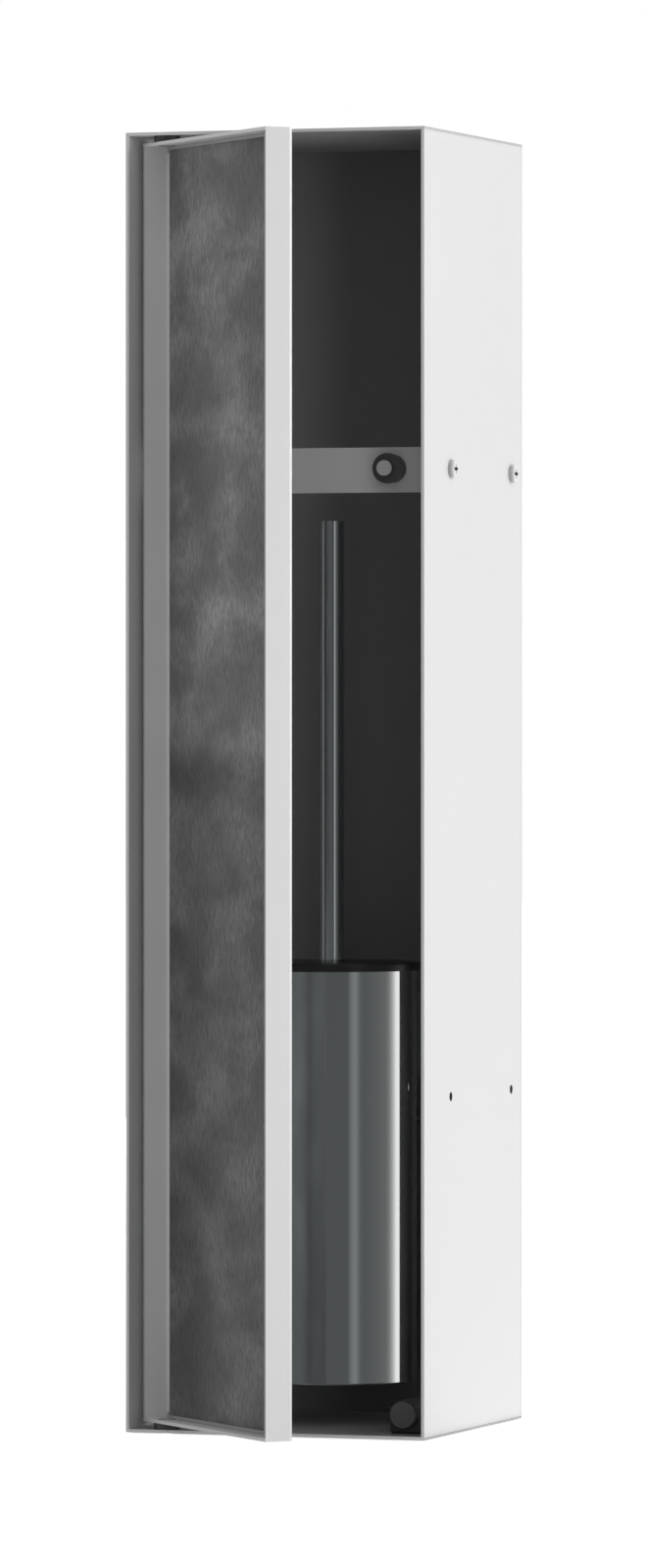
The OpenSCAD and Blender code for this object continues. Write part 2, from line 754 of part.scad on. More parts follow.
module bristles() {
    n = row_count;
    bore_r = core_r / cos(180 / n);
    rings = [for (i = [0 : rows], j = [0 : n - 1]) ring_point(i, j)];
    cells = [for (i = [0 : rows - 1], j = [0 : n - 1]) each cell_points(i, j)];
    mouth = [for (z = [backing_top, dome_z], j = [0 : n - 1])
        let (a = j * 360 / n) [bore_r * cos(a), bore_r * sin(a), z]];
    poles = [[0, 0, dome_z], [0, 0, dome_z - backing_r]];
    first_cell = len(rings);
    first_mouth = first_cell + len(cells);
    bore_pole = first_mouth + 2 * n;
    low_pole = bore_pole + 1;
    faces = [
        for (i = [0 : rows - 1], j = [0 : n - 1])
            let (
                a = i * n + j, b = i * n + (j + 1) % n, d = a + n, c = b + n,
                p = first_cell + 6 * a, q = p + 1, r = p + 2)
            each [
                [a, q, d], [a, p, q], [d, r, c], [d, q, r], [c, r, b], [b, r, p], [b, p, a],
                [p, q + 3, q], [p, p + 3, q + 3], [q, r + 3, r], [q, q + 3, r + 3],
                [r, p + 3, p], [r, r + 3, p + 3], [p + 3, r + 3, q + 3]
            ],
        for (j = [0 : n - 1])
            let (k = (j + 1) % n, m = first_mouth, o = rows * n)
            each [
                [j, m + k, k], [j, m + j, m + k],
                [m + j, m + n + k, m + k], [m + j, m + n + j, m + n + k],
                [m + n + j, bore_pole, m + n + k],
                [o + j, o + k, low_pole]
            ]
    ];
    color("#e8e8e8") translate([0, pot_y, 0]) polyhedron(concat(rings, cells, mouth, poles), faces);
}

left_side();
right_side();
back_panel();
top_panel();
bottom_panel();
upper_pivot_pin();
lower_pivot_pin();
latch_strap();
strap_screws();
strap_nuts();
upper_latch_body();
upper_latch_nut();
upper_latch_cap();
upper_latch_spring();
upper_latch_plunger();
upper_latch_magnet();
lower_latch_holder();
latch_holder_pad();
lower_latch_body();
lower_latch_cap();
lower_latch_spring();
lower_latch_plunger();
lower_latch_magnet();
pot_bracket();
bracket_studs();
bracket_nuts();
door_frame();
door_back_plate();
upper_bush();
lower_bush();
pot_shell();
pot_hanger();
pot_liner();
brush_lid();
handle_tube();
handle_cap();
stem_insert();
lid_clamp();
brush_stem();
brush_core();
bristles();
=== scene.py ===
"""Looks of the recessed toilet brush cabinet: finishes, bristles, screws, studio light and camera."""

import json
import math
import random

import bmesh
import bpy
from mathutils import Matrix, Vector


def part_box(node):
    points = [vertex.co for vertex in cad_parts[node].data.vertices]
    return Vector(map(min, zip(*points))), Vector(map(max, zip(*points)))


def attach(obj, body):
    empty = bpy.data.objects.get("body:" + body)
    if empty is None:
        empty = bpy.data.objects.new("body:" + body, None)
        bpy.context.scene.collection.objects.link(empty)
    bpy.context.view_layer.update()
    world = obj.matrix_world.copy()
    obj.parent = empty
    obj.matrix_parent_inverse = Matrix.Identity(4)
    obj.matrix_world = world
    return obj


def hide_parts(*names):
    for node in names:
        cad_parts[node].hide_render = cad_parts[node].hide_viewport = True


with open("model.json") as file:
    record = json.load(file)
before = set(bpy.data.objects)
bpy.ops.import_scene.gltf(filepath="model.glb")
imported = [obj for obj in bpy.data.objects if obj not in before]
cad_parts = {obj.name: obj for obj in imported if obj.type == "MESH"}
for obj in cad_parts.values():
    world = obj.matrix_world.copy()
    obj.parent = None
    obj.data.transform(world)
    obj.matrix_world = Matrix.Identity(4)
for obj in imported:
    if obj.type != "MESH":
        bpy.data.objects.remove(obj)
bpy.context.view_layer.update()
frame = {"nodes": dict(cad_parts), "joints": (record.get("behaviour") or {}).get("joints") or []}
nodes = frame["nodes"]

MM = 0.001
PHOTO_HEIGHT = 1600  # pixels

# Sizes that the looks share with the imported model
hinge = next(j for j in frame["joints"] if j["name"] == "door_hinge")
door_pivot = Vector(hinge["pos_m"])
door_open = math.radians(-hinge["range_deg"][0])
wall_x, outer_x = (corner.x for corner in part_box("right_side"))
front_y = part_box("right_side")[0].y
back_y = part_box("back_panel")[0].y
floor_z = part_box("bottom_panel")[1].z
ceiling_z, outer_z = (corner.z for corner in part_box("top_panel"))
pot_low, pot_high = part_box("pot_shell")
pot_axis = (pot_low + pot_high) / 2

# A mask takes in a face by reaching a little past it
PAST = 0.2 * MM
PAST_SKIN = 0.05 * MM


class Nodes:
    """A node tree, with short calls that return output sockets."""

    def __init__(self, tree):
        self.tree = tree

    def put(self, socket, value):
        """Links an output socket to an input, or sets the input's value."""
        if isinstance(value, bpy.types.NodeSocket):
            self.tree.links.new(value, socket)
        else:
            socket.default_value = value

    def node(self, kind, inputs, **props):
        made = self.tree.nodes.new(kind)
        for key, value in props.items():
            setattr(made, key, value)
        for key, value in inputs.items():
            self.put(made.inputs[key], value)
        return made

    def math(self, operation, a, b=0.0):
        return self.node("ShaderNodeMath", {0: a, 1: b}, operation=operation).outputs[0]

    def span(self, value, low, high, to_low=0.0, to_high=1.0):
        """Smooth step of a value between two bounds."""
        inputs = {"Value": value, "From Min": low, "From Max": high, "To Min": to_low, "To Max": to_high}
        return self.node("ShaderNodeMapRange", inputs, interpolation_type="SMOOTHSTEP").outputs[0]

    def toward(self, direction, axis):
        """How far a direction points along an axis, from -1 to 1."""
        return self.node("ShaderNodeVectorMath", {0: direction, 1: axis}, operation="DOT_PRODUCT").outputs["Value"]

    def mix_shader(self, factor, a, b):
        return self.node("ShaderNodeMixShader", {0: factor, 1: a, 2: b}).outputs[0]


class Graph(Nodes):
    """The node tree of a material."""

    def __init__(self, name, values):
        self.mat = bpy.data.materials.new(name)
        self.mat.use_nodes = True
        super().__init__(self.mat.node_tree)
        self.shader = self.tree.nodes["Principled BSDF"]
        for socket, value in values.items():
            self.shader.inputs[socket].default_value = value

    def feed(self, socket, value):
        self.tree.links.new(value, self.shader.inputs[socket])

    def surface(self, shader):
        """Puts another shader in the place of the Principled BSDF."""
        self.tree.links.new(shader, self.tree.nodes["Material Output"].inputs[0])

    def place(self):
        """Coordinates in the row frame at rest, in metres."""
        return self.node("ShaderNodeTexCoord", {}).outputs["Object"]

    def door_place(self):
        """Coordinates along the closed door, from its pivot, in metres."""
        shifted = self.node("ShaderNodeVectorMath", {0: self.place(), 1: door_pivot}, operation="SUBTRACT")
        return self.node("ShaderNodeMapping", {0: shifted.outputs[0], "Rotation": (0, 0, door_open)}).outputs[0]

    def stretch(self, vector, scale):
        return self.node("ShaderNodeMapping", {0: vector, "Scale": scale}).outputs[0]

    def axes(self, vector):
        return self.node("ShaderNodeSeparateXYZ", {0: vector}).outputs

    def less(self, value, bound):
        return self.math("LESS_THAN", value, bound)

    def more(self, value, bound):
        return self.math("GREATER_THAN", value, bound)

    def off(self, value, middle=0.0):
        """Distance of a value from a middle, on either side."""
        return self.math("ABSOLUTE", self.math("SUBTRACT", value, middle))

    def product(self, first, *others):
        for other in others:
            first = self.math("MULTIPLY", first, other)
        return first

    def noise(self, vector, scale, detail=2.0, roughness=0.5, distortion=0.0):
        inputs = {
            "Vector": vector, "Scale": scale, "Detail": detail, "Roughness": roughness, "Distortion": distortion
        }
        return self.node("ShaderNodeTexNoise", inputs).outputs[0]

    def mix(self, factor, a, b):
        """A colour between two, each a socket or a plain colour."""
        made = self.node("ShaderNodeMix", {0: factor}, data_type="RGBA")
        for index, value in ((6, a), (7, b)):
            self.put(made.inputs[index], value if isinstance(value, bpy.types.NodeSocket) else (*value, 1.0))
        return made.outputs[2]

    def scale(self, colour, share):
        return self.node("ShaderNodeVectorMath", {0: colour, 1: share}, operation="MULTIPLY").outputs[0]

    def bump(self, height, distance, strength, normal=None):
        inputs = {"Height": height, "Distance": distance, "Strength": strength}
        if normal:
            inputs["Normal"] = normal
        return self.node("ShaderNodeBump", inputs).outputs[0]

    def rounded(self, radius):
        """Normals of edges that are softened by a small radius."""
        return self.node("ShaderNodeBevel", {"Radius": radius}, samples=4).outputs[0]


def grey(value):
    return (value, value, value)


def dress(mat, *names):
    """Gives CAD nodes one material on all their slots."""
    for name in names:
        materials = nodes[name].data.materials
        materials.clear()
        materials.append(mat)


def along_door(name):
    """A door node's lowest and highest place along the closed door, from its pivot."""
    turn = Matrix.Rotation(door_open, 3, "Z")
    places = [(turn @ (v.co - door_pivot)).x for v in nodes[name].data.vertices]
    return min(places), max(places)


# Coated sheet

COAT_GLOSS = 0.28
SHARP_EDGE = 0.12 * MM
SOFT_EDGE = 0.35 * MM


def clouded(g, place, tone):
    """The coat's tone with faint large clouds."""
    clouds = g.noise(place, scale=9, detail=3)
    return g.mix(g.span(clouds, 0.35, 0.65), grey(tone * 0.985), grey(tone))


def finish(g, place, colour, edge):
    """The surface of the powder coat: orange peel, and painted shade on its outside around the screw heads."""
    peel = g.noise(place, scale=900, detail=2)
    open_share = g.node("ShaderNodeAmbientOcclusion", {"Distance": 5 * MM}, samples=6).outputs["AO"]
    outside = g.more(g.off(g.axes(place)[0]), outer_x - PAST_SKIN)
    # Painted shade: the outside darkens where ambient occlusion finds the screw heads close by
    painted_contact_shade = g.product(outside, g.span(open_share, 0.40, 0.95, 0.30, 0.0))
    g.feed("Base Color", g.scale(colour, g.math("SUBTRACT", 1.0, painted_contact_shade)))
    g.feed("Roughness", g.span(g.noise(place, scale=260, detail=2), 0.3, 0.7, 0.38, 0.47))
    g.feed("Normal", g.bump(peel, distance=0.02 * MM, strength=0.35, normal=g.rounded(edge)))


def coat(name, tone, inner_tone, fade=None, deep=None, ramp=40 * MM, edge=SOFT_EDGE):
    """Satin powder coat of the casing: fine orange peel, faint clouds, and an inside whose tones are painted light
    and shade.

    The inside starts over a ramp behind the front. fade holds two places on X in millimetres, and the tone that the
    inside has reached at the second. deep holds two depths in millimetres, and the share of the tone at the second:
    below one it is painted shade deeper in, above one painted light.
    """
    g = Graph(name, {"Specular IOR Level": COAT_GLOSS})
    place = g.place()
    x, y, z = g.axes(place)
    outer = clouded(g, place, tone)
    # Painted light: the outside is lighter towards the bottom
    outer = g.mix(g.product(z, 1 / outer_z), g.mix(0.5, outer, grey(tone * 1.06)), outer)

    # Painted light and shade inside: a tone given per panel, changing along X and with depth
    inner = grey(inner_tone)
    if fade:
        start, end, last_tone = fade
        inner = g.mix(g.span(x, start * MM, end * MM), inner, grey(last_tone))
    inner = g.mix(g.span(y, front_y, front_y + ramp), grey(tone), inner)
    if deep:
        start, end, share = deep
        inner = g.scale(inner, g.span(y, front_y + start * MM, front_y + end * MM, 1.0, share))
    aside = g.off(x)
    inside = g.product(
        g.less(aside, wall_x + PAST),
        g.less(g.off(y, (front_y + back_y) / 2), (back_y - front_y) / 2 + PAST),
        g.more(z, floor_z - PAST),
        g.less(z, ceiling_z + PAST))
    colour = g.mix(inside, outer, inner)

    # The walls of the screw holes, within the sheet's thickness, painted dark as the shade inside them
    in_hole = g.product(
        g.more(aside, wall_x + 0.1 * MM), g.less(aside, outer_x - 0.1 * MM), g.more(y, front_y + 2 * MM))
    colour = g.mix(in_hole, colour, grey(0.10))

    # Painted shade: the ends of the top and bottom sheets, seen at the sides, are greyer, as a shaded line along
    # the edge
    end = g.more(g.off(z, (floor_z + ceiling_z) / 2), (ceiling_z - floor_z) / 2 + 0.3 * MM)
    colour = g.mix(g.product(g.more(aside, outer_x - PAST_SKIN), end), colour, grey(0.60))
    finish(g, place, colour, edge)
    return g.mat


def door_coat(tone):
    """The frame's powder coat, with painted light and shade: lighter towards the bottom, bright level front rims,
    darker upright front rims, and level strips that darken towards the plate.
    """
    g = Graph("door_coat", {"Specular IOR Level": COAT_GLOSS})
    place = g.place()
    z = g.axes(place)[2]
    # Painted light: lighter towards the bottom
    colour = g.mix(g.product(z, 1 / outer_z), grey(tone * 1.08), clouded(g, place, tone))
    x, y, _ = g.axes(g.door_place())
    front = front_y - door_pivot.y
    low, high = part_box("door_frame")
    half_height = (high.z - low.z) / 2
    height = g.off(z, (low.z + high.z) / 2)

    # The inner faces of the two level strips, 1.5 mm in from the frame's outside, with the weld bead at their foot
    left, right = along_door("door_frame")
    strip_face, bead_end = half_height - 1.4 * MM, half_height - 4 * MM
    between_uprights = g.less(g.off(x, (right + left) / 2), (right - left) / 2 - 1.6 * MM)
    shelf = g.product(between_uprights, g.less(height, strip_face), g.more(height, bead_end))
    depth = g.math("SUBTRACT", y, front)
    # Painted shade: the inner faces of the level strips darken towards the plate, with painted light near their
    # rims
    colour = g.mix(shelf, colour, g.scale(colour, g.span(depth, 2 * MM, 12 * MM, 1.15, 0.58)))
    g.feed("Specular IOR Level", g.span(shelf, 0.0, 1.0, COAT_GLOSS, 0.04))

    # The front rims, painted light and shade: two bright level ones, a greyer left one and a darker right one
    rim = g.less(y, front + 0.06 * MM)
    level = g.more(height, half_height - 1.55 * MM)
    left_tone, right_tone, level_tone = grey(0.70), grey(0.34), grey(0.98)
    upright = g.mix(g.less(x, 0.0), right_tone, left_tone)
    colour = g.mix(rim, colour, g.mix(level, upright, level_tone))
    finish(g, place, colour, SHARP_EDGE)
    return g.mat


# The panels share one white coat with a tone given per panel: the door frame's is lowered as painted shade; the
# bottom panel's is higher and the back panel's lower
dress(coat("left_coat", tone=0.87, inner_tone=0.98, deep=(24, 46, 0.47)), "left_side")
dress(coat("right_coat", tone=0.87, inner_tone=0.80, deep=(20, 140, 0.50)), "right_side")
dress(coat("top_coat", tone=0.86, inner_tone=1.0, fade=(14, 56, 0.66), deep=(30, 140, 0.62)), "top_panel")
dress(coat("bottom_coat", tone=0.965, inner_tone=0.49, fade=(15, 42, 0.38), deep=(62, 130, 1.4), ramp=0.5 * MM,
           edge=SHARP_EDGE), "bottom_panel")
dress(coat("back_coat", tone=0.80, inner_tone=0.50, fade=(-46, -8, 0.25)), "back_panel")
dress(door_coat(tone=0.81), "door_frame")


# Bare and polished metal

def brushed(name, tone, roughness, grain_scale, contrast=0.12, metallic=1.0, fade=None):
    """Steel with a fine grain: grain_scale gives the grain's frequency on each axis.

    fade holds two places on X in millimetres, and the share of the tone that is left at the second.
    """
    g = Graph(name, {"Metallic": metallic})
    place = g.place()
    grain = g.noise(g.stretch(place, grain_scale), scale=1, detail=3, roughness=0.6)
    clouds = g.noise(place, scale=40, detail=3)
    pattern = g.product(g.math("ADD", grain, clouds), 0.5)
    colour = g.mix(pattern, grey(tone * (1 - contrast)), grey(tone * (1 + contrast)))
    if fade:
        start, end, left = fade
        colour = g.scale(colour, g.span(g.axes(place)[0], start * MM, end * MM, 1.0, left))
    g.feed("Base Color", colour)
    g.feed("Roughness", g.span(grain, 0.25, 0.75, roughness * 0.85, roughness * 1.15))
    g.feed("Normal", g.bump(grain, distance=0.01 * MM, strength=0.5, normal=g.rounded(0.15 * MM)))
    return g.mat


def mottled_plate():
    """The door's plate: dark brushed steel, streaked upright and clouded, with painted shade and a free edge
    painted bright as a highlight.
    """
    g = Graph("mottled_plate", {"Metallic": 0.3, "Specular IOR Level": 0.3})
    place = g.door_place()
    x, y, z = g.axes(place)
    free_x = along_door("door_back_plate")[1]

    small = g.noise(g.stretch(place, (0.62, 1.0, 0.95)), scale=36, detail=2, distortion=0.3)
    large = g.noise(g.stretch(place, (0.6, 1.0, 1.0)), scale=15, detail=1)
    clouds = g.span(g.math("ADD", g.product(small, 0.7), g.product(large, 0.3)), 0.36, 0.68)
    sway = g.node("ShaderNodeTexNoise", {"Vector": place, "Scale": 90, "Detail": 1.0}).outputs[1]
    bent = g.node(
        "ShaderNodeVectorMath", {0: place, 1: g.scale(sway, (0.006, 0.0, 0.0))}, operation="ADD").outputs[0]
    streaks = g.noise(g.stretch(bent, (760, 300, 190)), scale=1, detail=2, roughness=0.75)
    dark_cloud, light_cloud, dark_streak = grey(0.135), grey(0.315), grey(0.08)
    tone = g.mix(clouds, dark_cloud, light_cloud)
    tone = g.mix(g.span(streaks, 0.3, 0.7, 0.0, 0.58), tone, dark_streak)

    # It is lighter beside the hinge, and painted shade darkens it beside the level strips of the frame
    tone = g.scale(tone, g.span(x, 0.0, free_x, 1.62, 0.73))
    low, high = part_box("door_back_plate")
    half_height = (high.z - low.z) / 2
    reach = g.off(z, (low.z + high.z) / 2)
    tone = g.scale(tone, g.span(reach, half_height - 16 * MM, half_height - 1 * MM, 1.0, 0.6))

    # The back's tone is known only from its reflection in the pot, and is painted shade, darker towards the free
    # edge and the top. The free edge is painted bright, as a highlight.
    back_face, edge_face = 6.9 * MM, free_x - 0.04 * MM
    painted_back_shade = g.product(g.span(x, 20 * MM, 60 * MM, 0.46, 0.088), g.span(x, 55 * MM, free_x, 1.0, 0.63))
    painted_back_shade = g.product(painted_back_shade, g.span(g.axes(g.place())[2], 200 * MM, 270 * MM, 1.0, 0.48))
    painted_back_shade = g.product(painted_back_shade, g.span(clouds, 0, 1, 0.9, 1.1))
    tone = g.mix(g.more(y, back_face), tone, painted_back_shade)
    # Painted highlight on the free edge
    g.feed("Base Color", g.mix(g.more(x, edge_face), tone, grey(0.98)))
    g.feed("Roughness", g.span(streaks, 0.2, 0.8, 0.34, 0.5))
    g.feed("Normal", g.bump(streaks, distance=0.015 * MM, strength=0.4))
    return g.mat


COOL = (0.93, 1.0, 1.015)


def polished(name, tone, roughness):
    """Mirror steel with faint polishing waves and smudges, and a cool tint painted as bluish reflected light, left
    out at its far right.
    """
    g = Graph(name, {"Metallic": 1.0})
    place = g.place()
    smudge = g.noise(place, scale=30, detail=4, roughness=0.6)
    waves = g.noise(g.stretch(place, (8, 8, 60)), scale=1, detail=2)
    # Painted reflection: a cool tint, faded out at the far right
    cool = g.span(g.axes(place)[0], 27 * MM, 38 * MM, 1.0, 0.2)
    colour = g.mix(cool, grey(tone), tuple(tint * tone for tint in COOL))
    g.feed("Base Color", g.scale(colour, g.span(smudge, 0.0, 1.0, 0.97, 1.0)))
    g.feed("Roughness", g.span(smudge, 0.3, 0.7, roughness, roughness * 1.6))
    g.feed("Normal", g.bump(waves, distance=0.02 * MM, strength=0.15))
    return g.mat


STRAP_GRAIN, BRACKET_GRAIN = (25, 25, 900), (30, 30, 700)

dress(mottled_plate(), "door_back_plate")
# Painted shade: the strap darkens towards the right side wall
dress(brushed("strap_steel", tone=0.96, roughness=0.5, grain_scale=STRAP_GRAIN, contrast=0.04, metallic=0.12,
              fade=(32, 64, 0.72)), "latch_strap")
dress(brushed("bracket_steel", tone=0.50, roughness=0.38, grain_scale=BRACKET_GRAIN), "pot_bracket")
dress(brushed("magnet_face", tone=0.77, roughness=0.45, grain_scale=(600, 600, 600), metallic=0.3),
      "upper_latch_magnet")
dress(brushed("spring_wire", tone=0.45, roughness=0.3, grain_scale=(900, 900, 900)),
      "upper_latch_spring", "lower_latch_spring")
dress(brushed("zinc_steel", tone=0.62, roughness=0.35, grain_scale=(400, 400, 400), contrast=0.10),
      "upper_pivot_pin", "lower_pivot_pin", "strap_nuts", "bracket_studs", "bracket_nuts", "stem_insert",
      "brush_stem")
dress(polished("mirror_steel", tone=0.79, roughness=0.06), "pot_shell", "pot_hanger", "handle_tube", "handle_cap")


# Plastics and small parts

def plastic(name, tone, roughness, grain):
    """Moulded plastic with a fine spark-eroded grain."""
    g = Graph(name, {"Specular IOR Level": 0.45})
    place = g.place()
    fine = g.noise(place, grain, detail=2)
    cloud = g.noise(place, scale=60, detail=3)
    g.feed("Base Color", g.mix(cloud, grey(tone * 0.85), grey(tone * 1.15)))
    g.feed("Roughness", g.span(cloud, 0.3, 0.7, roughness * 0.9, roughness * 1.1))
    g.feed("Normal", g.bump(fine, distance=0.02 * MM, strength=0.4, normal=g.rounded(0.2 * MM)))
    return g.mat


def screw_white():
    """White lacquered heads with painted shade on the rim, on the dome's front side and in the cross recess; the
    dome is glossy.
    """
    g = Graph("screw_white", {"Specular IOR Level": 0.6})
    place = g.place()
    x, y, z = g.axes(place)
    low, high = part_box("strap_screws")
    middle = (low + high) / 2
    # Half the distance between a side's two screws: the box is one head wider than that, and one head high
    half_pitch = (high.y - low.y - high.z + low.z) / 2
    rearmost = g.more(y, middle.y)
    along = g.math("SUBTRACT", y, g.math("ADD", g.product(rearmost, 2 * half_pitch), middle.y - half_pitch))
    above = g.math("SUBTRACT", z, middle.z)
    radius = g.math("SQRT", g.math("ADD", g.product(along, along), g.product(above, above)))

    recess_r, slot_half, dome_top = 2.25 * MM, 0.75 * MM, high.x - 0.25 * MM
    near = g.less(radius, recess_r)
    sunk = g.less(g.off(x), dome_top)
    slot = g.less(g.off(above), slot_half)
    recess = g.math("MAXIMUM", g.product(near, sunk), g.product(near, slot))
    cloud = g.noise(place, scale=300, detail=3)
    dome = g.span(g.off(x), outer_x + 1.0 * MM, outer_x + 2.6 * MM)
    # Painted shade: a greyer rim, a darker front side of the dome, and a near-black cross recess
    rim_tone = g.mix(cloud, grey(0.64), grey(0.70))
    dome_tone = g.mix(cloud, grey(0.94), grey(0.99))
    lacquer_and_shade = g.scale(g.mix(dome, rim_tone, dome_tone), g.span(along, -3.6 * MM, -0.4 * MM, 0.68, 1.0))
    g.feed("Base Color", g.mix(recess, lacquer_and_shade, grey(0.03)))
    g.feed("Roughness", g.span(cloud, 0.3, 0.7, 0.22, 0.32))
    g.feed("Normal", g.bump(cloud, distance=0.01 * MM, strength=0.3, normal=g.rounded(0.1 * MM)))
    return g.mat


PLASTICS = (
    # material, tone, roughness, grain, and the nodes that it is put on
    ("matt_black", 0.034, 0.5, 700, ("upper_bush", "lower_bush", "lid_clamp")),
    ("latch_grey", 0.097, 0.5, 700, (
        "upper_latch_body", "upper_latch_nut", "upper_latch_cap", "upper_latch_plunger")),
    ("latch_black", 0.060, 0.5, 700, (
        "lower_latch_holder", "lower_latch_body", "lower_latch_cap", "lower_latch_plunger")),
    ("lid_black", 0.038, 0.31, 400, ("brush_lid",)),
    ("liner_black", 0.03, 0.55, 700, ("pot_liner",)),
    ("core_grey", 0.10, 0.5, 700, ("brush_core",)),
    ("pad_foam", 0.03, 0.9, 1500, ("latch_holder_pad",)),
    ("disc_black", 0.14, 0.5, 700, ("lower_latch_magnet",)),
)
for *look, names in PLASTICS:
    dress(plastic(*look), *names)
dress(screw_white(), "strap_screws")


def new_object(name, mesh_maker, mat):
    """A new mesh object in the scene, with one material."""
    bm = bmesh.new()
    mesh_maker(bm)
    mesh = bpy.data.meshes.new(name)
    bm.normal_update()
    bm.to_mesh(mesh)
    bm.free()
    obj = bpy.data.objects.new(name, mesh)
    bpy.context.scene.collection.objects.link(obj)
    mesh.materials.append(mat)
    return obj


# Bristles: a moulded backing with about two thousand tapered filaments

HEAD_LOW, HEAD_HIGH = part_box("bristles")
FILAMENT_ROWS = 46
FILAMENTS_IN_ROW = 46
FILAMENT_RINGS = ((0, 0.28), (0.5, 0.25), (1, 0.16))  # share of the length, radius in millimetres
FILAMENT_CORNERS = (0, 2.094, 4.189)
CORE_R = 9 * MM
CORE_SIDES = 40
DOME_HEIGHT = 26 * MM
DOME_ANGLES = (0.5, 0.9, 1.25, math.pi / 2)
FANNED_SHARE = 0.33  # the rows below it fan out from the dome's centre
UP = Vector((0, 0, 1))


def head_radius(t):
    """Reach of the filaments at a share t of the head's height from its lower end."""
    full = (HEAD_HIGH.x - HEAD_LOW.x) / 2
    if t < 0.3:
        return full * (0.55 + 0.45 * math.sin(t / 0.3 * math.pi / 2))
    return full * (1.0 if t < 0.85 else 1.0 - 0.18 * (t - 0.85) / 0.15)


def round_spot(angle, radius, z):
    return Vector((radius * math.cos(angle), radius * math.sin(angle), z))


def join_rings(bm, rings):
    """Faces between rings of vertices that follow each other."""
    for low, high in zip(rings, rings[1:]):
        for k in range(len(low)):
            n = (k + 1) % len(low)
            bm.faces.new((low[k], low[n], high[n], high[k]))


def build_backing(bm, centre, dome_z):
    tip_r, chamfer, bore_r = 0.1 * MM, 0.5 * MM, 7 * MM
    profile = [(tip_r, dome_z - CORE_R)]
    profile += [(CORE_R * math.sin(a), dome_z - CORE_R * math.cos(a)) for a in DOME_ANGLES]
    profile += [(CORE_R, HEAD_HIGH.z - chamfer), (CORE_R - chamfer, HEAD_HIGH.z), (bore_r, HEAD_HIGH.z)]
    angles = [2 * math.pi * k / CORE_SIDES for k in range(CORE_SIDES)]
    rings = [[bm.verts.new(centre + round_spot(a, r, z)) for a in angles] for r, z in profile]
    join_rings(bm, rings)
    bm.faces.new(rings[0][::-1])


def build_filament(bm, root, direction, length, wave):
    side = direction.cross(UP)
    side = side.normalized() if side.length > 0.1 else Vector((1, 0, 0))
    up = side.cross(direction).normalized()
    rings = []
    for share, radius in FILAMENT_RINGS:
        middle = root + direction * length * share + wave * share
        rings.append([bm.verts.new(middle + (side * math.cos(b) + up * math.sin(b)) * radius * MM)
                      for b in FILAMENT_CORNERS])
    join_rings(bm, rings)
    bm.faces.new(rings[0][::-1])
    bm.faces.new(rings[-1])


def build_bristles(bm):
    rng = random.Random(7)
    centre = Vector((pot_axis.x, pot_axis.y, 0))
    dome_z = HEAD_LOW.z + DOME_HEIGHT
    build_backing(bm, centre, dome_z)
    for i in range(FILAMENT_ROWS):
        t = (i + 0.5) / FILAMENT_ROWS
        reach = head_radius(t)
        for j in range(FILAMENTS_IN_ROW):
            a = 2 * math.pi * (j + 0.5 * (i % 2) + rng.uniform(-0.3, 0.3)) / FILAMENTS_IN_ROW
            out = round_spot(a, 1.0, 0)
            if t < FANNED_SHARE:
                tilt = (FANNED_SHARE - t) / FANNED_SHARE * 1.15
                direction = out * math.cos(tilt) - UP * math.sin(tilt)
                root = centre + UP * dome_z + direction * CORE_R * 0.95
                tip = reach / max(math.cos(tilt), 0.75) * 0.93
            else:
                direction = out
                root_z = min(HEAD_LOW.z + t * (HEAD_HIGH.z - HEAD_LOW.z), HEAD_HIGH.z - 1.5 * MM)
                root = centre + out * CORE_R * 0.95 + UP * root_z
                tip = reach
            length = (tip - CORE_R) * rng.uniform(0.93, 0.985)
            wave = Vector((rng.uniform(-1, 1), rng.uniform(-1, 1), rng.uniform(-0.6, 0.6))) * 0.7 * MM
            build_filament(bm, root, direction, length, wave)


def nylon():
    g = Graph("nylon", {"Roughness": 0.4})
    speckle = g.noise(g.place(), scale=500, detail=2)
    g.feed("Base Color", g.mix(speckle, (0.74, 0.74, 0.72), (0.88, 0.88, 0.86)))
    return g.mat


bristles = new_object("bristle_filaments", build_bristles, nylon())
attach(bristles, "brush")
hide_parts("bristles")

# Camera: level, turned to the left, and shifted down to the photograph's frame

CAMERA_PLACE = (1.40812, -3.98131, 0.32521)
CAMERA_YAW = 19.4896  # degrees
FOCAL_PX = 9268.86
HORIZON_PX = 740.41

cam_data = bpy.data.cameras.new("camera")
cam = bpy.data.objects.new("camera", cam_data)
bpy.context.scene.collection.objects.link(cam)
cam.location = CAMERA_PLACE
cam.rotation_euler = (math.radians(90), 0, math.radians(CAMERA_YAW))
cam_data.sensor_width = 36
cam_data.lens = FOCAL_PX / PHOTO_HEIGHT * cam_data.sensor_width
cam_data.shift_y = (HORIZON_PX - PHOTO_HEIGHT / 2) / PHOTO_HEIGHT
cam_data.clip_end = 50
bpy.context.scene.camera = cam


# Floor, world and lamps

def level_axis(degrees):
    """A level direction, counted from X towards the back."""
    return (math.cos(math.radians(degrees)), math.sin(math.radians(degrees)), 0)


# Polished metal sees a white studio, apart from a grey room in front on the right
ROOM_AXIS = level_axis(-50)
ROOM_SPAN = (0.50, 0.77, 1.0, 0.10)
LIGHT_AXIS = level_axis(15)
FLOOR_HALF = 12.0
FLOOR_Z = -0.6 * MM


def backdrop(name, mesh_maker, mat):
    obj = new_object(name, mesh_maker, mat)
    return obj


def build_floor(bm):
    bmesh.ops.create_grid(
        bm, x_segments=8, y_segments=8, size=FLOOR_HALF, matrix=Matrix.Translation((0, 0, FLOOR_Z)))


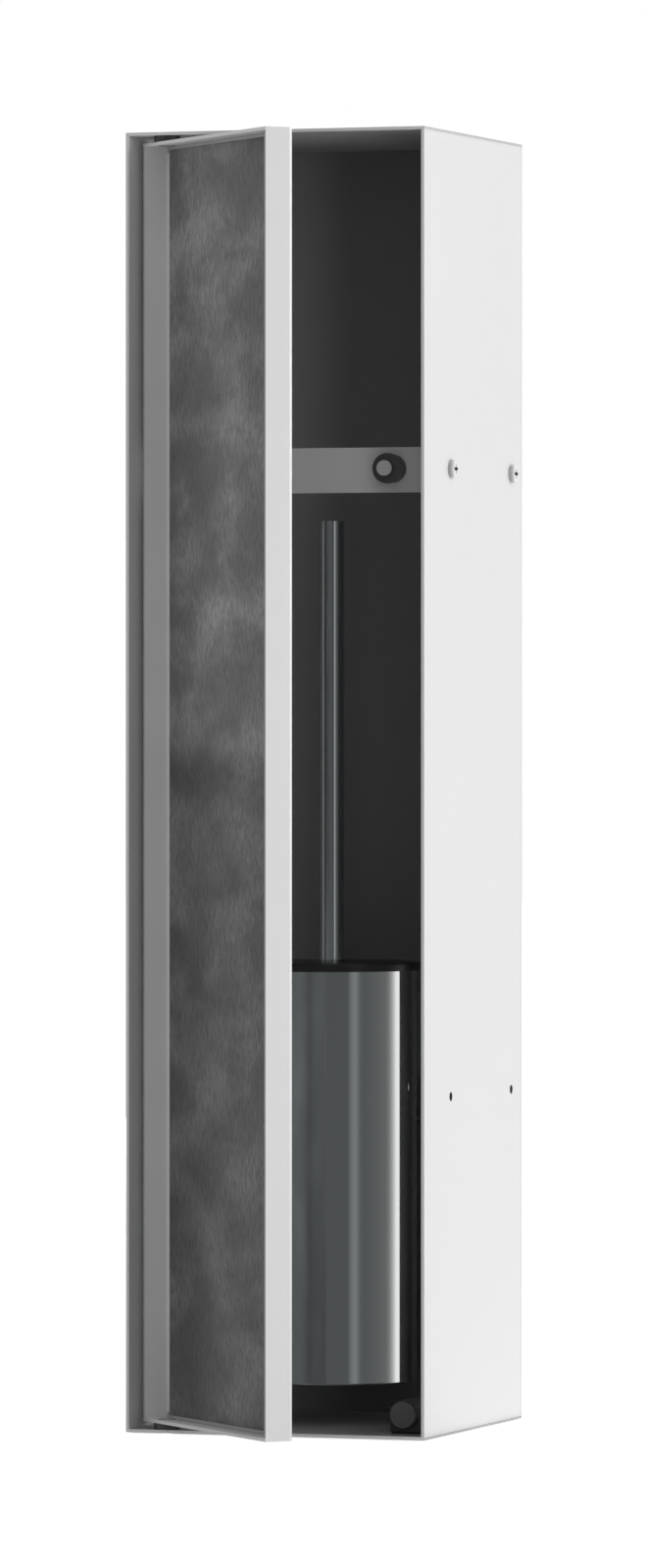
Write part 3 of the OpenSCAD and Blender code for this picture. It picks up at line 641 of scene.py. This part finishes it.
def floor_look():
    """White to the camera apart from a soft shadow, the studio to metal, and plain pale to all other rays."""
    g = Graph("pale_floor", {"Base Color": (0.9, 0.9, 0.9, 1), "Roughness": 0.9, "Specular IOR Level": 0.0})
    path = g.node("ShaderNodeLightPath", {}).outputs
    glow = g.node("ShaderNodeEmission", {"Color": (1, 1, 1, 1), "Strength": 0.8}).outputs[0]
    plain = g.shader.outputs[0]
    white = g.node("ShaderNodeAddShader", {0: plain, 1: glow}).outputs[0]
    outward = g.node("ShaderNodeVectorMath", {0: g.place()}, operation="NORMALIZE").outputs[0]
    room = g.node("ShaderNodeEmission", {"Strength": g.span(g.toward(outward, ROOM_AXIS), *ROOM_SPAN)}).outputs[0]
    seen = g.mix_shader(path["Is Camera Ray"], plain, white)
    g.surface(g.mix_shader(path["Is Glossy Ray"], seen, room))
    return g.mat


backdrop("floor", build_floor, floor_look())


# What the pot and the handle mirror on the right: a card along the lit inside of the casing's side. Each level of
# its glow is given for a place on Y in millimetres, from in front of the casing to behind the pot's axis.
CARD_FRONT, CARD_BACK = front_y - 15 * MM, 18.1 * MM
CARD_SPLIT = pot_high.z + 3 * MM
BESIDE_POT = (
    (-86, 0.092), (-79, 0.14), (-72, 0.205), (-65, 0.235), (-59, 0.225), (-54, 0.155), (-49, 0.12), (-42, 0.112),
    (-20, 0.135), (-7, 0.165), (-2, 0.24), (4, 0.49), (11, 1.0)
)
BESIDE_HANDLE = (
    (-86, 0.10), (-71, 0.10), (-70, 0.42), (-50, 0.42), (-42, 0.10), (-12, 0.085), (-2, 0.02)
)


def build_card(bm):
    x, low, high = wall_x - 0.3 * MM, floor_z + 3 * MM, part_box("latch_strap")[0].z - 4 * MM
    corners = [(x, CARD_FRONT, low), (x, CARD_FRONT, high), (x, CARD_BACK, high), (x, CARD_BACK, low)]
    bm.faces.new([bm.verts.new(c) for c in corners])


def card_look():
    """Glows towards the pot, and is clear towards the wall."""
    g = Graph("strip_glow", {})
    _, y, z = g.axes(g.place())
    along = g.node("ShaderNodeMapRange", {"Value": y, "From Min": CARD_FRONT, "From Max": CARD_BACK}).outputs[0]

    def profile(stops):
        ramp = g.node("ShaderNodeValToRGB", {0: along})
        points = ramp.color_ramp.elements
        while len(points) < len(stops):
            points.new(0.5)
        for point, (place, level) in zip(points, stops):
            point.position = (place * MM - CARD_FRONT) / (CARD_BACK - CARD_FRONT)
            point.color = (*grey(level), 1.0)
        return ramp.outputs[0]

    colour = g.mix(g.less(z, CARD_SPLIT), profile(BESIDE_HANDLE), profile(BESIDE_POT))
    glow = g.node("ShaderNodeEmission", {"Color": colour, "Strength": 1.0}).outputs[0]
    clear = g.node("ShaderNodeBsdfTransparent", {}).outputs[0]
    wall_side = g.node("ShaderNodeNewGeometry", {}).outputs["Backfacing"]
    g.surface(g.mix_shader(wall_side, glow, clear))
    return g.mat


card = backdrop("strip_reflection", build_card, card_look())
for ray in ("camera", "diffuse", "transmission", "volume_scatter", "shadow"):
    setattr(card, "visible_" + ray, False)


def studio_world():
    """White to the camera; a soft light that is stronger from the right; a grey room in front to the metal."""
    world = bpy.data.worlds.new("studio")
    bpy.context.scene.world = world
    world.use_nodes = True
    w = Nodes(world.node_tree)
    sky = w.node("ShaderNodeTexCoord", {}).outputs["Generated"]
    path = w.node("ShaderNodeLightPath", {}).outputs

    def background(level, strength=1.0):
        return w.node("ShaderNodeBackground", {"Color": (*grey(level), 1), "Strength": strength}).outputs[0]

    light = w.node("ShaderNodeMath", {0: w.toward(sky, LIGHT_AXIS), 1: 0.22, 2: 0.45}, operation="MULTIPLY_ADD")
    soft = background(1.0, light.outputs[0])
    room = background(0.8, w.span(w.toward(sky, ROOM_AXIS), *ROOM_SPAN))
    mirrored = w.math("MAXIMUM", path["Is Glossy Ray"], path["Is Transmission Ray"])
    lit = w.mix_shader(mirrored, soft, room)
    seen = w.mix_shader(path["Is Camera Ray"], lit, background(1.0))
    w.tree.links.new(seen, w.tree.nodes["World Output"].inputs["Surface"])


studio_world()

LAMPS = (
    # name, place, power in watts
    ("right_softbox", (3.0, -0.3, 0.45), 48),
    ("back_fill", (-1.7, 2.5, 1.0), 36),
)
LAMP_AIM = (0, 0, 0.3)
LAMP_SIZE = 2.0

for name, place, power in LAMPS:
    data = bpy.data.lights.new(name, "AREA")
    data.shape = "RECTANGLE"
    data.size = data.size_y = LAMP_SIZE
    data.energy = power
    lamp = bpy.data.objects.new(name, data)
    bpy.context.scene.collection.objects.link(lamp)
    lamp.location = place
    lamp.rotation_euler = (Vector(LAMP_AIM) - Vector(place)).to_track_quat("-Z", "Y").to_euler()

scene = bpy.context.scene
scene.view_settings.view_transform = "Standard"
